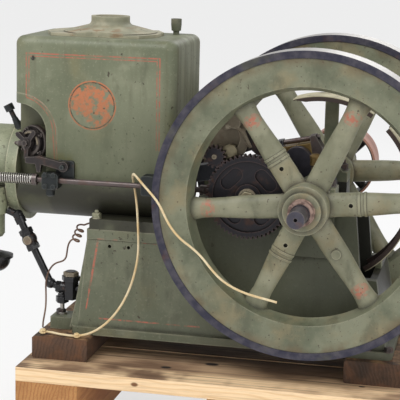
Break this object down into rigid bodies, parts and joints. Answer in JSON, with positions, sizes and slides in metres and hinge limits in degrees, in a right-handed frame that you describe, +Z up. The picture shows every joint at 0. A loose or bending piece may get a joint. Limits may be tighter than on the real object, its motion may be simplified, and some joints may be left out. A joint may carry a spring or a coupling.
{
  "type": "stationary hit-and-miss engine",
  "caption": "Small horizontal water-cooled hit-and-miss engine with an open hopper and two spoked flywheels, on a timber pallet.",
  "frame": {"origin": "on the floor under the middle of the pallet, on the upright plane through the cylinder's axis", "axes": "+X along the cylinder, from the cylinder head towards the crank; +Y to the back, along the crankshaft to the belt pulley; +Z up"},
  "size_m": [0.937, 0.62, 0.716],
  "materials": {
    "pallet_wood": "sawn, grey and weathered",
    "green_paint": "worn grey-green enamel over castings",
    "bare_steel": "bare, brown in places",
    "cast_iron_dark": "oiled and dirty",
    "brass": "dull",
    "black_pipe": "black, satin",
    "cream_paint": "faded cream outside, rusty inside",
    "pulley_paint": "faded red",
    "wire_cover": "brown, cloth-covered wire",
    "lead_cover": "waxed cotton, cream to orange"
  },
  "bodies": {
    "frame": {"bearer_left": "pallet_wood", "bearer_middle": "pallet_wood", "bearer_right": "pallet_wood", "deck_board_front": "pallet_wood", "deck_board_middle": "pallet_wood", "deck_board_rear": "pallet_wood", "skid_left": "pallet_wood", "skid_right": "pallet_wood", "engine_base": "green_paint", "hopper_cylinder": "green_paint", "hopper_lid": "green_paint", "cylinder_head": "green_paint", "guard_bracket": "green_paint", "guard_foot": "green_paint", "governor_bracket": "green_paint", "pushrod_guide": "green_paint", "pushrod_rear_guide": "green_paint", "rocker_bracket": "green_paint", "igniter_body": "green_paint", "priming_cup": "green_paint", "crankshaft": "bare_steel", "connecting_rod": "bare_steel", "rod_cap": "bare_steel", "cam_stud": "bare_steel", "valve_stem": "bare_steel", "rocker_arm": "bare_steel", "pushrod_spring": "bare_steel", "drop_tube": "bare_steel", "ignition_wire_top": "wire_cover", "ignition_pigtail": "wire_cover", "ignition_wire": "wire_cover", "cotton_lead": "lead_cover", "lead_knot": "lead_cover", "piston": "cast_iron_dark", "rod_brasses": "brass", "fuel_valve": "brass", "mixer_body": "brass", "mixer_bell": "brass", "fuel_union": "brass", "bearing_cap_near": "green_paint", "bearing_cap_far": "green_paint", "hopper_cup": "brass", "fuel_pipe_upper": "black_pipe", "fuel_pipe_lower": "black_pipe", "crank_guard_upper": "cream_paint", "crank_guard_lower": "cream_paint"},
    "flywheels": {"flywheel_near": "green_paint", "flywheel_far": "green_paint", "belt_pulley": "pulley_paint", "crank_gear": "cast_iron_dark"},
    "cam": {"cam_gear": "cast_iron_dark"},
    "governor_pinion": {"governor_gear": "cast_iron_dark"},
    "pushrod": {"pushrod": "bare_steel"},
    "latch": {"latch_arm": "bare_steel"},
    "igniter_lever": {"igniter_lever": "bare_steel"},
    "governor_lever": {"governor_lever": "bare_steel"}
  },
  "joints": [
    {"name": "flywheel_spin", "type": "hinge", "parent": "frame", "child": "flywheels", "pos_m": [0.095, 0, 0.433], "axis": [0, 1, 0], "continuous": true},
    {"name": "cam_spin", "type": "hinge", "parent": "frame", "child": "cam", "pos_m": [-0.01, -0.121, 0.433], "axis": [0, 1, 0], "continuous": true},
    {"name": "governor_spin", "type": "hinge", "parent": "frame", "child": "governor_pinion", "pos_m": [-0.06831, -0.128, 0.49824], "axis": [0, 1, 0], "continuous": true},
    {"name": "pushrod_slide", "type": "slide", "parent": "frame", "child": "pushrod", "axis": [1, 0, 0], "range_m": [0, 0.008]},
    {"name": "latch_swing", "type": "hinge", "parent": "frame", "child": "latch", "pos_m": [-0.338, -0.114, 0.462], "axis": [0, 1, 0], "range_deg": [0, 15]},
    {"name": "igniter_trip", "type": "hinge", "parent": "frame", "child": "igniter_lever", "pos_m": [-0.4083, -0.09694, 0.497], "axis": [-0.4226, -0.9063, 0], "range_deg": [0, 20]},
    {"name": "governor_lever_swing", "type": "hinge", "parent": "frame", "child": "governor_lever", "pos_m": [-0.046, -0.106, 0.505], "axis": [0, 1, 0], "range_deg": [0, 8]}
  ],
  "couplings": [
    {"joint": "cam_spin", "follows": "flywheel_spin", "ratio": -0.5},
    {"joint": "governor_spin", "follows": "flywheel_spin", "ratio": 2}
  ]
}
